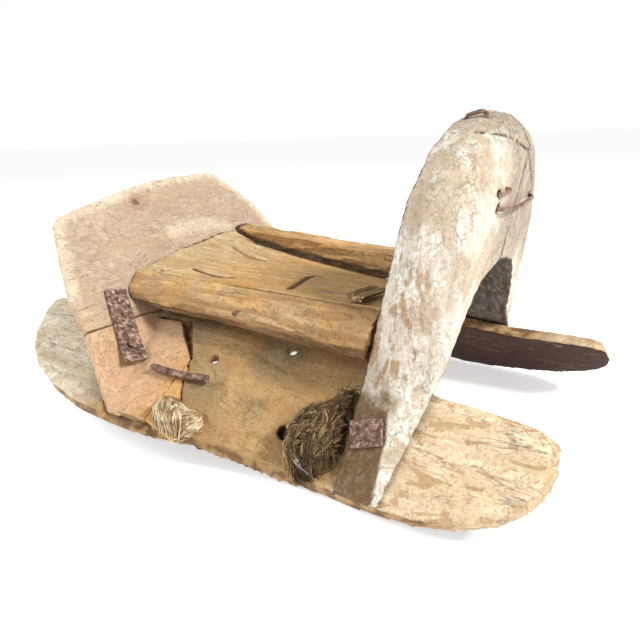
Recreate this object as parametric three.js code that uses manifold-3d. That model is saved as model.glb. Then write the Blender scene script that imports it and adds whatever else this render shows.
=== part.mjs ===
// Carved wooden saddle tree: two twisted side boards, a two-piece pommel arch, a leaning cantle
// on two let-in legs, and a seat of one board between two rails, held by lashings and hand-made iron.
// Millimetres, +Z up, +X to the pommel, the near side is -Y. The origin lies in the middle
// plane, between the board ends, at the height of the boards' lower edges.
import * as THREE from 'three';
import { mergeVertices } from 'three/addons/utils/BufferGeometryUtils.js';
import Module from 'manifold-3d';

const wasm = await Module();
wasm.setup();

// Driving dimensions
const GAP = 0.35;                 // clearance left between pieces that touch
const BOARD_THICK = 12;           // side board
const END_FLARE = 6;              // how far the board's inner face runs past its outer face in front
const LEG_DEPTH = 7.5;            // depth of the cantle leg's housing in the side board
const CANTLE_THICK = 11;
const CANTLE_JOINT = 28;          // height of the joint above CANTLE_FOOT, up the cantle's face
const POMMEL_DEPTH = 55;          // front to back
const RIDGE_BACK = 36;            // where the pommel's front face turns into its side
const STRAP = { thick: 2.6 };
const STAPLE_RADIUS = 1.9;
const CORD_RADIUS = 3.2;

// The side board's outer face is a level-ended twist between two planes: steep in front, where the
// pommel stands, and flatter behind, under the cantle.
const FRONT_FACE = { x: 198, y: 88.2, z: 74.8, along: 0.08, across: -0.906 };
const REAR_FACE = { x: -55, y: 188, z: 43, along: 0.0285, across: -0.488 };
const TWIST_FROM = -11;
const TWIST_TO = 132;

// The cantle's front face leans back; the pommel's front face leans forward.
const CANTLE_FOOT = new THREE.Vector3(-83.5, 0, 74.8);
const CANTLE_UP = new THREE.Vector3(-0.9136, 0, 1).normalize();
const CANTLE_OUT = new THREE.Vector3(1, 0, 0.9136).normalize();
const POMMEL_FRONT_X = 183;
const POMMEL_LEAN = 0.178;

const COLOUR = {
  paleWood: 0xe6d9bd, tanWood: 0xc8a56e, pinkWood: 0xcdb9a5, whiteWood: 0xebe1d2,
  rust: 0x6e5046, cordPale: 0xd2be96, cordDark: 0x5a4838,
};

const END_BALANCE = -1;           // puts the origin midway between the board ends

const v = (x, y, z) => new THREE.Vector3(x, y, z);
const SIDES = [['near', -1], ['far', 1]];
const model = new THREE.Group();
model.position.x = END_BALANCE;

// ---- shared geometry -------------------------------------------------------------------------

function addMesh(name, geometry, color, roughness = 0.85, metalness = 0) {
  const mesh = new THREE.Mesh(geometry, new THREE.MeshStandardMaterial({ color, roughness, metalness }));
  mesh.name = name;
  model.add(mesh);
}

function ringNormal(ring) {
  const normal = v(0, 0, 0);
  ring.forEach((p, k) => normal.add(p.clone().cross(ring[(k + 1) % ring.length])));
  return normal.normalize();
}

function capTriangles(ring) {
  const normal = ringNormal(ring);
  const across = ring[1].clone().sub(ring[0]).normalize();
  const up = normal.clone().cross(across);
  const flat = ring.map((p) => new THREE.Vector2(p.dot(across), p.dot(up)));
  return THREE.ShapeUtils.triangulateShape(flat, []).map(([a, b, c]) => {
    const turn = ring[b].clone().sub(ring[a]).cross(ring[c].clone().sub(ring[a])).dot(normal);
    return turn > 0 ? [a, b, c] : [a, c, b];
  });
}

// One closed solid from points and triangles, turned so that its faces point out.
function solid(points, faces) {
  const volume = faces.reduce((sum, [a, b, c]) => sum + points[a].dot(points[b].clone().cross(points[c])), 0);
  const index = faces.flatMap(([a, b, c]) => (volume > 0 ? [a, b, c] : [a, c, b]));
  const geometry = new THREE.BufferGeometry().setFromPoints(points);
  geometry.setIndex(index);
  return geometry;
}

// A solid through a row of closed rings that have the same number of points.
function loft(rings) {
  const n = rings[0].length;
  const faces = [];
  for (let row = 0; row + 1 < rings.length; row++) {
    for (let k = 0; k < n; k++) {
      const a = row * n + k;
      const b = row * n + (k + 1) % n;
      faces.push([a, b, b + n], [a, b + n, a + n]);
    }
  }
  const last = (rings.length - 1) * n;
  capTriangles(rings[0]).forEach(([a, b, c]) => faces.push([a, c, b]));
  capTriangles(rings[rings.length - 1]).forEach(([a, b, c]) => faces.push([a + last, b + last, c + last]));
  return solid(rings.flat(), faces);
}

// A plate between an outline and the same outline moved by a vector.
function plate(outline, shift) {
  return loft([outline, outline.map((p) => p.clone().add(shift))]);
}

// Shared corners merged into one, and the flat triangles at a pole dropped.
function weld(geometry) {
  geometry.deleteAttribute('normal');
  geometry.deleteAttribute('uv');
  const merged = mergeVertices(geometry, 1e-3);
  const corners = [...merged.index.array];
  merged.setIndex(corners.flatMap((a, k) => {
    const [b, c] = [corners[k + 1], corners[k + 2]];
    return k % 3 === 0 && a !== b && b !== c && c !== a ? [a, b, c] : [];
  }));
  return merged;
}

function tube(points, radius, sides = 6, steps = 3 * points.length) {
  const shape = new THREE.Shape();
  for (let k = 0; k < sides; k++) {
    const angle = 2 * Math.PI * k / sides;
    const point = [radius * Math.cos(angle), radius * Math.sin(angle)];
    if (k === 0) shape.moveTo(...point);
    else shape.lineTo(...point);
  }
  const extrudePath = new THREE.CatmullRomCurve3(points);
  return weld(new THREE.ExtrudeGeometry(shape, { extrudePath, steps, bevelEnabled: false }));
}

// A pin along a direction: a flat head above the surface and a plain shank below it.
function pin(head, direction, headRadius, headHigh, shankRadius, shankLong, sides = 8) {
  const profile = [[0, -shankLong], [shankRadius, -shankLong], [shankRadius, 0], [headRadius, 0],
    [headRadius * 0.75, headHigh], [0, headHigh]].map(([r, h]) => new THREE.Vector2(r, h));
  const geometry = weld(new THREE.LatheGeometry(profile, sides));
  geometry.applyQuaternion(new THREE.Quaternion().setFromUnitVectors(v(0, 1, 0), direction));
  return geometry.translate(head.x, head.y, head.z);
}

function ellipsoid(centre, radii, turn = new THREE.Quaternion(), widthParts = 10, heightParts = 6) {
  const geometry = weld(new THREE.SphereGeometry(1, widthParts, heightParts));
  geometry.scale(radii.x, radii.y, radii.z);
  geometry.applyQuaternion(turn);
  return geometry.translate(centre.x, centre.y, centre.z);
}

function toManifold(geometry) {
  return new wasm.Manifold(new wasm.Mesh({
    numProp: 3,
    vertProperties: new Float32Array(geometry.attributes.position.array),
    triVerts: new Uint32Array(geometry.index.array),
  }));
}

function fromManifold(manifold) {
  const mesh = manifold.getMesh();
  const geometry = new THREE.BufferGeometry();
  geometry.setAttribute('position', new THREE.BufferAttribute(new Float32Array(mesh.vertProperties), 3));
  geometry.setIndex(new THREE.BufferAttribute(new Uint32Array(mesh.triVerts), 1));
  return geometry;
}

function cut(geometry, ...cutters) {
  const body = cutters.reduce((rest, cutter) => rest.subtract(toManifold(cutter)), toManifold(geometry));
  return fromManifold(body);
}

// ---- side boards -----------------------------------------------------------------------------

const planeZ = (face, x, y) => face.z + face.along * (x - face.x) + face.across * (y - face.y);

// Height of the outer face above a point that lies y from the middle plane.
function faceZ(x, y) {
  const share = THREE.MathUtils.smoothstep(x, TWIST_FROM, TWIST_TO);
  return (1 - share) * planeZ(REAR_FACE, x, y) + share * planeZ(FRONT_FACE, x, y);
}

// Unit vector out of the outer face, for the side with positive y.
function faceOut(x, y) {
  const slopeX = (faceZ(x + 1, y) - faceZ(x - 1, y)) / 2;
  const slopeY = (faceZ(x, y + 1) - faceZ(x, y - 1)) / 2;
  return v(-slopeX, -slopeY, 1).normalize();
}

// The point that is height off the outer face, on the given side.
function onFace(side, x, y, height = 0) {
  const p = v(x, y, faceZ(x, y)).addScaledVector(faceOut(x, y), height);
  return v(p.x, side * p.y, p.z);
}

const outOfFace = (side, x, y) => faceOut(x, y).multiply(v(1, side, 1));

// Plan of the board: [top edge x, top edge y, lower edge x, lower edge y, flare of the inner edge].
const BOARD_PLAN = [
  [-287, 95, -280, 112, 0], [-276, 90, -256, 140, 0], [-253, 87, -232, 158, 0], [-215, 85, -200, 173, 1],
  [-165, 81, -150, 187, 2], [-110, 77, -100, 194, 3], [-55, 73, -50, 195, 4], [-11, 71, -5, 193, 5],
  [25, 71, 32, 176, 8], [60, 71, 66, 161, 10], [95, 71, 99, 153, 9], [132, 72, 135, 151, 6],
  [166, 79, 175, 154, 4], [200, 88, 209, 154, 3], [225, 90, 235, 151, 2], [245, 92, 258, 144, 1],
  [261, 94, 272, 135, 0], [272, 96, 279, 126, 0], [279, 99, 282, 113, 0],
];

function boardRing(side, [topX, topY, lowX, lowY, flare]) {
  const at = (share, height) => {
    const [x, y] = [topX + (lowX - topX) * share, topY + (lowY - topY) * share];
    const nose = height < 0 ? END_FLARE * THREE.MathUtils.smoothstep(x, 235, 282) : 0;
    return onFace(side, x, y, height).add(v(nose, 0, 0));
  };
  const down = at(1, 0).sub(at(0, 0)).normalize();
  return [at(0, 0), at(1 / 3, 0), at(2 / 3, 0), at(1, 0),
    at(1, -BOARD_THICK).addScaledVector(down, flare),
    at(2 / 3, -BOARD_THICK), at(1 / 3, -BOARD_THICK), at(0, -BOARD_THICK)];
}

// Lashing holes bored square to the face: [x, y, radius].
const EMPTY_HOLES = [[3, 121, 4.6], [63, 83.5, 4.2]];
const LASHING_HOLES = [[0, 169, 4.2], [30, 165, 4.2]];
const SLOT_HOLES = [[91, 133.5, 6], [98, 134, 6], [106, 134, 6]];

function bore(side, [x, y, radius]) {
  const hole = weld(new THREE.CylinderGeometry(radius, radius, 4 * BOARD_THICK, 10));
  hole.applyQuaternion(new THREE.Quaternion().setFromUnitVectors(v(0, 1, 0), outOfFace(side, x, y)));
  const middle = onFace(side, x, y);
  return hole.translate(middle.x, middle.y, middle.z);
}

// ---- cantle legs, let into the side boards ---------------------------------------------------

const cantlePoint = (y, up, out = 0) => CANTLE_FOOT.clone().addScaledVector(CANTLE_UP, up)
  .addScaledVector(CANTLE_OUT, out).add(v(0, y, 0));

// The x at which the cantle's face, moved out by a depth, meets the board's face moved by a height.
function meetX(y, out, height) {
  let x = -70;
  for (let step = 0; step < 30; step++) {
    const z = faceZ(x, y) + height / faceOut(x, y).z;
    const up = (z - CANTLE_FOOT.z - CANTLE_OUT.z * out) / CANTLE_UP.z;
    x = CANTLE_FOOT.x + CANTLE_OUT.x * out + CANTLE_UP.x * up;
  }
  return x;
}

// Stations across the leg: [y at the joint, y at the foot, x of the foot's front edge].
const LEG_STATIONS = [[171, 190, -10], [160, 172, -12], [140, 146, -15], [128, 128, -18],
  [112, 110, -43], [98, 92, -66]];

function legRing(side, [topY, footY, frontX], grow = 0) {
  const deep = -LEG_DEPTH - grow;
  const foldX = meetX(footY, grow, 0);
  const backX = meetX(footY, -CANTLE_THICK - grow, deep);
  const top = CANTLE_JOINT - GAP + (grow ? 12 : 0);
  const ring = [cantlePoint(topY, top, grow), v(foldX, footY, faceZ(foldX, footY) + 0.01),
    onFace(1, frontX + grow, footY), onFace(1, frontX + grow, footY, deep),
    v(backX, footY, faceZ(backX, footY) + deep / faceOut(backX, footY).z),
    cantlePoint(topY, top, -CANTLE_THICK - grow)];
  return ring.map((p) => v(p.x, side * p.y, p.z));
}

const legSolid = (side) => loft(LEG_STATIONS.map((station) => legRing(side, station)));

// The housing is the leg's own shape, a little larger, with a notch that opens towards its inner end.
function housing(side) {
  const notch = [0, 0, 0, 1, 8, 13];
  const first = LEG_STATIONS[0];
  const last = LEG_STATIONS[LEG_STATIONS.length - 1];
  const stations = LEG_STATIONS.map(([topY, footY, frontX], k) => [topY, footY, frontX + notch[k]]);
  const rings = stations.map((station) => legRing(side, station, GAP));
  const outer = legRing(side, [first[0] + 12, first[1] + 12, first[2]], GAP);
  const inner = legRing(side, [last[0] - 2, last[1] - 2, last[2] + 13], GAP);
  return loft([outer, ...rings, inner]);
}

// A split-off sliver between the leg's front edge and the board.
const SLIVER_STATIONS = [[189, 24], [172, 12], [156, -2], [136, -13]];

function sliverRing(side, [y, frontX], grow = 0) {
  const station = LEG_STATIONS.findIndex(([, footY]) => footY <= y);
  const [, y1, x1] = LEG_STATIONS[station];
  const [, y0, x0] = LEG_STATIONS[Math.max(station - 1, 0)];
  const legX = y0 === y1 ? x1 : x1 + (x0 - x1) * (y - y1) / (y0 - y1);
  const backX = legX + GAP + (grow ? -2 : 0.3);
  const top = grow ? 6 : 0;
  return [onFace(side, backX, y, top), onFace(side, frontX + grow, y, top),
    onFace(side, frontX + grow, y, -5 - grow), onFace(side, backX, y, -5 - grow)];
}

function sliver(side, grow = 0) {
  const rings = SLIVER_STATIONS.map((station) => sliverRing(side, station, grow));
  if (grow) rings.unshift(sliverRing(side, [201, 34], grow));
  if (grow) rings.push(sliverRing(side, [135.4, -12.5], grow));
  return loft(rings);
}

// Outline of the upper board in its own plane: [y, distance up the face]. The cut top is not level.
const CANTLE_OUTLINE = [[-170, 28], [-166, 64], [-150.5, 110], [-136, 149], [-130, 154.5], [-89, 166],
  [-42, 178], [6, 187], [46, 190], [92, 192], [108, 189], [121, 173], [144, 135], [151, 91], [166, 28]];

function cantlePlate(grow = 0) {
  const outline = CANTLE_OUTLINE.map(([y, up]) => {
    return cantlePoint(y * (1 + grow / 150), up === CANTLE_JOINT ? up - grow : up + grow, grow);
  });
  return plate(outline, CANTLE_OUT.clone().multiplyScalar(-CANTLE_THICK - 2 * grow));
}

for (const [word, side] of SIDES) {
  const whole = loft(BOARD_PLAN.map((station) => boardRing(side, station)));
  const holes = [...EMPTY_HOLES, ...LASHING_HOLES, ...SLOT_HOLES].map((hole) => bore(side, hole));
  const fitted = cut(whole, housing(side), sliver(side, GAP), cantlePlate(GAP), ...holes);
  addMesh(`${word}_side_board`, fitted, COLOUR.paleWood);
  addMesh(`${word}_foot_sliver`, cut(sliver(side), ...holes), COLOUR.tanWood);
}

// ---- cantle ----------------------------------------------------------------------------------

const STRAP_LINES = [[[-132, 63], [-110, 59]], [[-150, 9], [-128, 5]], [[-161, -15], [-139.5, -20]]];
const NAIL_SPOTS = [[-124, 48, 0], [-143, 0, 6.2]];

// A strap runs down the cantle's face and over the joint; its foot rides over the leg's fold.
function strapSolid(side) {
  const rings = STRAP_LINES.map((pair, row) => {
    const lift = GAP + [0, 0.4, 9.6][row];
    const low = pair.map(([y, up]) => cantlePoint(-side * y, up, lift));
    const high = pair.map(([y, up]) => cantlePoint(-side * y, up, lift + STRAP.thick)).reverse();
    return [...low, ...high];
  });
  return loft(rings);
}

const NAIL_SEAT = STRAP.thick + 2 * GAP + 0.8;
const nailAt = ([y, up, rise], side) => {
  return pin(cantlePoint(-side * y, up, NAIL_SEAT + rise), CANTLE_OUT, 5, 3, 1.8, 11 + rise);
};
const nailHole = ([y, up], side) => pin(cantlePoint(-side * y, up, 20), CANTLE_OUT, 1, 1, 1.8 + GAP, 40);

const nailHoles = SIDES.flatMap(([, side]) => NAIL_SPOTS.map((spot) => nailHole(spot, side)));
addMesh('cantle_board', cut(cantlePlate(), ...nailHoles), COLOUR.pinkWood);

for (const [word, side] of SIDES) {
  const holes = NAIL_SPOTS.map((spot) => nailHole(spot, side));
  addMesh(`${word}_cantle_leg`, cut(legSolid(side), ...holes), COLOUR.pinkWood);
  addMesh(`${word}_cantle_strap`, cut(strapSolid(side), ...holes), COLOUR.rust, 0.8, 0.5);
  NAIL_SPOTS.forEach((spot, k) => {
    addMesh(`${word}_strap_nail_${k + 1}`, nailAt(spot, side), COLOUR.rust, 0.8, 0.6);
  });
  const tie = [[-44, 147], [-8, 147.5], [17, 139.5]].map(([x, y]) => onFace(side, x, y, 4.6));
  addMesh(`${word}_leg_cleat`, tube(tie, 3.6, 6, 4), COLOUR.rust, 0.85, 0.3);
}

// ---- seat ------------------------------------------------------------------------------------

const cantleX = (z) => CANTLE_FOOT.x - 0.9136 * (z - CANTLE_FOOT.z) + 0.6;
const pommelRearX = (z) => POMMEL_FRONT_X + POMMEL_LEAN * z - POMMEL_DEPTH - 0.6;

// A log or board between the cantle and the pommel: profiles of [y, z] at shares of its length.
function seatPiece(profiles) {
  const rings = profiles.map(([share, profile]) => profile.map(([y, z]) => {
    const from = cantleX(z);
    return v(from + (pommelRearX(z) - from) * share, y, z);
  }));
  return loft(rings);
}

const lift = (profile, rise) => profile.map(([y, z]) => [y, z + rise]);
const NEAR_RAIL = [[-81.7, 132], [-90, 129.5], [-99, 124], [-110, 116.5], [-112, 109], [-107, 102.5],
  [-96, 97], [-81.7, 96]];
const FAR_RAIL = [[79, 150], [92, 153], [105, 152], [113, 146], [114, 132], [106, 121], [92, 118],
  [79, 120]];
const NEAR_RAIL_FRONT = [[-81.7, 132], [-88, 129], [-95, 122.5], [-102, 113], [-103.5, 104],
  [-100, 96], [-92, 89.5], [-81.7, 88.5]];
const seatBoard = (...tops) => [[-81, tops[0]], [-20, tops[1]], [30, tops[2]], [70, tops[3]],
  [78.3, tops[3] - 2], [78.3, tops[3] - 7], [70, Math.min(tops[3], 132) - 16], [-81, 108]];

addMesh('near_seat_rail', seatPiece([[0, lift(NEAR_RAIL, 1.5)], [0.5, NEAR_RAIL], [1, NEAR_RAIL_FRONT]]),
  COLOUR.tanWood);
const seatPlank = seatPiece([[0, seatBoard(132.3, 141, 145.5, 149)], [0.1, seatBoard(132, 134, 135, 134)],
  [0.3, seatBoard(132, 131, 128, 124)], [0.65, seatBoard(132, 130, 122, 112)],
  [1, seatBoard(132, 129, 120, 108)]]);
const PEG_SPOT = v(-104, -74, 133.8);
addMesh('seat_board', cut(seatPlank, pin(PEG_SPOT, v(0, 0, 1), 3 + GAP, 9, 3 + GAP, 18)), COLOUR.tanWood);
addMesh('seat_peg', pin(PEG_SPOT, v(0, 0, 1), 3, 1.6, 2.9, 16), COLOUR.tanWood);
addMesh('far_seat_rail', seatPiece([[0, FAR_RAIL], [0.55, lift(FAR_RAIL, -11)], [1, lift(FAR_RAIL, -18)]]),
  COLOUR.tanWood);

// ---- pommel ----------------------------------------------------------------------------------

// Stations from the foot to the crown; each holds [y, z, distance behind the front face] for the
// arch's front edge, the front nose, two points of the rounded face, the ridge, the rear outer edge
// and the arch's rear edge.
const faceRow = (arch, nose, ridge, outer, inner, bulge) => {
  const between = (share) => nose.map((value, k) => value + (ridge[k] - value) * share);
  const [one, two] = [between(0.3), between(0.7)];
  return [arch, nose, [one[0] + bulge, one[1], one[2] - bulge], [two[0] + bulge, two[1], two[2] - bulge],
    ridge, outer, inner];
};
const POMMEL_ROWS = [
  faceRow([146, 4, 0], [155, 15, 0], [157, 16, 5], [155, 12, 38], [146, 0, 38], 0),
  faceRow([104, 38, 0], [122, 48, 0], [131, 50, 15], [129, 45, 46], [104, 32, 46], 0.5),
  faceRow([76, 72, 0], [94, 78, 0], [104, 80, 30], [101, 76, POMMEL_DEPTH], [76, 66, POMMEL_DEPTH], 1),
  faceRow([66, 104, 0], [86, 105, 0], [98, 106, RIDGE_BACK], [96.5, 104, 55], [66, 103, 55], 1.5),
  faceRow([55, 128, 0], [80, 134, 0], [94.5, 136, RIDGE_BACK], [93, 134, 55], [55, 127, 55], 2),
  faceRow([46, 141, 0], [74, 160, 0], [91, 162, RIDGE_BACK], [89.5, 160, 55], [46, 140, 55], 2.5),
  faceRow([36, 149, 0], [66, 182, 0], [88.5, 188, RIDGE_BACK], [86.5, 186, 55], [36, 148, 55], 3),
  faceRow([24, 153.5, 0], [50, 208, 0], [82, 215, 35], [79, 215, 55], [24, 153, 55], 4),
  [[12, 156, 0], [28, 230, 0], [38, 240, 5], [50, 245, 14], [58, 247, 32], [56, 245, 55], [12, 155, 55]],
  [[6, 156.5, 0], [14, 240, 0], [19, 252, 7], [26, 260, 17], [29, 264, 34], [28, 262, 54], [6, 155.5, 55]],
  [[0, 157, 0], [0, 245, 0], [0, 259, 9], [0, 268, 21], [0, 271.5, 36], [0, 269, 53], [0, 156, 55]],
];

function pommelPoint(side, [y, z, back]) {
  return v(POMMEL_FRONT_X + POMMEL_LEAN * z - back, side * Math.max(y, GAP / 2), z);
}

// Everything under the front plane of the board's outer face.
function underBoard(side) {
  const corner = (x, y, drop) => v(x, side * y, planeZ(FRONT_FACE, x, y) - drop);
  const around = (drop) => [corner(90, -20, drop), corner(290, -20, drop), corner(290, 260, drop),
    corner(90, 260, drop)];
  return loft([around(-0.5), around(120)]);
}

const onFront = (y, z, off) => v(POMMEL_FRONT_X + POMMEL_LEAN * z + off, y, z);

// Hand-bent staples: the path of the wire, with both legs driven into the wood.
const STAPLES = {
  pommel_front_staple: [onFront(-44, 204, -7), onFront(-43, 204, 1.6), onFront(-7.5, 201.5, 3),
    onFront(34, 205.5, 1.6), onFront(35, 205.5, -7)],
  pommel_front_stub: [onFront(-46, 214, -7), onFront(-45, 214.5, 1.6), onFront(-36, 217, 1.6),
    onFront(-35, 217, -7)],
  pommel_crown_staple: [v(184, -20, 257), v(184.5, -20, 266), v(191, -20, 268.2), v(198, -20, 268.4),
    v(199, -20, 258)],
};

// A forged plate lies flat on the outer end of each foot: its corners, on the side with positive y.
const CLEAT_CORNERS = [[144, 121, 54.5], [171, 119.5, 63.5], [178, 132, 49.5], [153, 134.5, 40.6]];
const CLEAT_OUT = v(-0.133, 0.774, 0.62);

function cleat(side, grow = 0) {
  const centre = CLEAT_CORNERS.reduce((sum, corner) => sum.add(v(...corner)), v(0, 0, 0)).divideScalar(4);
  const turned = (p) => v(p.x, side * p.y, p.z);
  const outline = CLEAT_CORNERS.map((corner) => {
    return turned(v(...corner).sub(centre).multiplyScalar(1 + grow / 12).add(centre)
      .addScaledVector(CLEAT_OUT, -0.5 - grow));
  });
  return plate(outline, turned(CLEAT_OUT).multiplyScalar(grow ? 14 : 3));
}

for (const [word, side] of SIDES) {
  const half = loft(POMMEL_ROWS.map((row) => row.map((spot) => pommelPoint(side, spot))));
  const wires = Object.values(STAPLES).map((path) => tube(path, STAPLE_RADIUS + GAP, 6, 14));
  const fitted = cut(half, underBoard(side), cleat(side, GAP), ...wires);
  addMesh(`pommel_${word}_half`, fitted, COLOUR.whiteWood);
  addMesh(`${word}_foot_cleat`, cleat(side), COLOUR.rust, 0.85, 0.4);
}
for (const [name, path] of Object.entries(STAPLES)) {
  addMesh(name, tube(path, STAPLE_RADIUS, 6, 14), COLOUR.rust, 0.7, 0.6);
}

// ---- rope ------------------------------------------------------------------------------------

// Rounded lumps on the board's face, joined to the strands that leave them: [x, y, height, radii].
function knot(side, lumps, strands) {
  const solids = lumps.map(([x, y, high, ...radii]) => {
    const turn = new THREE.Quaternion().setFromUnitVectors(v(0, 0, 1), outOfFace(side, x, y));
    return toManifold(ellipsoid(onFace(side, x, y, high), v(...radii), turn));
  });
  return fromManifold([...solids, ...strands.map(toManifold)].reduce((whole, piece) => whole.add(piece)));
}

// A strand that fills a hole, from a height above the face to the board's inner face.
const plug = (side, [x, y], high, radius) => {
  return tube([onFace(side, x, y, high), onFace(side, x, y, -BOARD_THICK)], radius, 8, 2);
};

const REAR_LUMPS = [[9, 176, 8, 15, 13, 7], [30, 171, 8, 13.5, 11, 7]];
const POMMEL_LUMPS = [[118, 129, 15, 22, 26, 14]];

for (const [word, side] of SIDES) {
  const rearStrands = LASHING_HOLES.map((hole) => plug(side, hole, 8, CORD_RADIUS));
  addMesh(`${word}_rear_lashing`, knot(side, REAR_LUMPS, rearStrands), COLOUR.cordPale, 1);
  const tailPath = [onFace(side, 122, 118, 14), onFace(side, 128, 106, 11), onFace(side, 130, 96, 8)];
  const tail = tube(tailPath, 5, 8, 4);
  const pommelStrands = [plug(side, SLOT_HOLES[2], 10, 5.2), tail];
  addMesh(`${word}_pommel_lashing`, knot(side, POMMEL_LUMPS, pommelStrands), COLOUR.cordDark, 1);
}

const seatTurns = [0, 1, 2].map((turn) => {
  const x = 118 + 5.6 * turn;
  return toManifold(tube([v(x, -80, 136), v(x + 1, -62, 135.2), v(x + 3, -40, 134.6)], CORD_RADIUS, 8, 4));
});
const seatRope = seatTurns.reduce((whole, turn) => whole.add(turn));
addMesh('seat_lashing', fromManifold(seatRope), COLOUR.cordPale, 1);

export default model;
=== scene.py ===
# Looks of the carved wooden saddle tree: every wooden piece is re-cut from its solid as worn, hand-hewn
# wood, the rope is laid strand by strand, and the forged iron gets its rust. The scene is in metres, in
# the part's frame; places on the object are written in the part's own millimetres.
import math
import random

import bmesh
import bpy
from mathutils import Matrix, Vector, noise
from mathutils.bvhtree import BVHTree


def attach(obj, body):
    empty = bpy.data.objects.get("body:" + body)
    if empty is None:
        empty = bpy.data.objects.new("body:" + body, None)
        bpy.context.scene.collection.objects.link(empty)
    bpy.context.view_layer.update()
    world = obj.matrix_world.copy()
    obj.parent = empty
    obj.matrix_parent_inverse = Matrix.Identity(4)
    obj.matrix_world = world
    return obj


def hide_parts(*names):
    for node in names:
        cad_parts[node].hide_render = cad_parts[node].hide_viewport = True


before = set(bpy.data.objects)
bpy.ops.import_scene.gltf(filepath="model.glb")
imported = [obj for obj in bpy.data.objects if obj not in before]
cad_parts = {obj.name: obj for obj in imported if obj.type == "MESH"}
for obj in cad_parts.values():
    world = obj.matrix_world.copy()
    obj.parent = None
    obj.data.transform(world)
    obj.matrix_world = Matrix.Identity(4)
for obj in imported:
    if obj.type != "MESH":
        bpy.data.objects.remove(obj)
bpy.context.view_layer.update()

random.seed(7)

MM = 0.001
BALANCE = -1.0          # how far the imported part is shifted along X, in mm
BALANCE_SHIFT = Vector((BALANCE, 0, 0))
SIDES = (("near", -1), ("far", 1))
BLACK = (0, 0, 0)
WHITE = (1, 1, 1)

# The two planes that the side board's outer face twists between, as in the part.
FRONT_FACE = dict(x=198.0, y=88.2, z=74.8, along=0.08, across=-0.906)
REAR_FACE = dict(x=-55.0, y=188.0, z=43.0, along=0.0285, across=-0.488)
TWIST_FROM = -11.0
TWIST_TO = 132.0


# ---- the board's face, in millimetres --------------------------------------------------------

def plane_z(face, x, y):
    """Height of one of the two planes over a point of the ground plan."""
    return face["z"] + face["along"] * (x - face["x"]) + face["across"] * (y - face["y"])


def smooth(low, high, value):
    """From 0 at low to 1 at high with soft ends; low may be the larger of the two."""
    share = min(1.0, max(0.0, (value - low) / (high - low)))
    return share * share * (3 - 2 * share)


def face_z(x, y):
    """Height of the side board's outer face; y is the distance from the middle plane."""
    share = smooth(TWIST_FROM, TWIST_TO, x)
    return (1 - share) * plane_z(REAR_FACE, x, y) + share * plane_z(FRONT_FACE, x, y)


def face_out(side, x, y):
    """The direction straight out of the board's outer face."""
    slope_x = (face_z(x + 1, y) - face_z(x - 1, y)) / 2
    slope_y = (face_z(x, y + 1) - face_z(x, y - 1)) / 2
    return Vector((-slope_x, -slope_y * side, 1)).normalized()


def on_face(side, x, y):
    """A point of the board's outer face, in metres."""
    return (Vector((x, side * y, face_z(x, y))) + BALANCE_SHIFT) * MM


def blend(one, two, share):
    """A colour between two others."""
    return tuple(a + (b - a) * share for a, b in zip(one, two))


# ---- materials -------------------------------------------------------------------------------

# The sockets of a Mix node that a mix of colours uses.
MIX_FACTOR, MIX_FIRST, MIX_SECOND = 0, 6, 7
MIX_RESULT = 2

SPECULAR = 0.35


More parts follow.
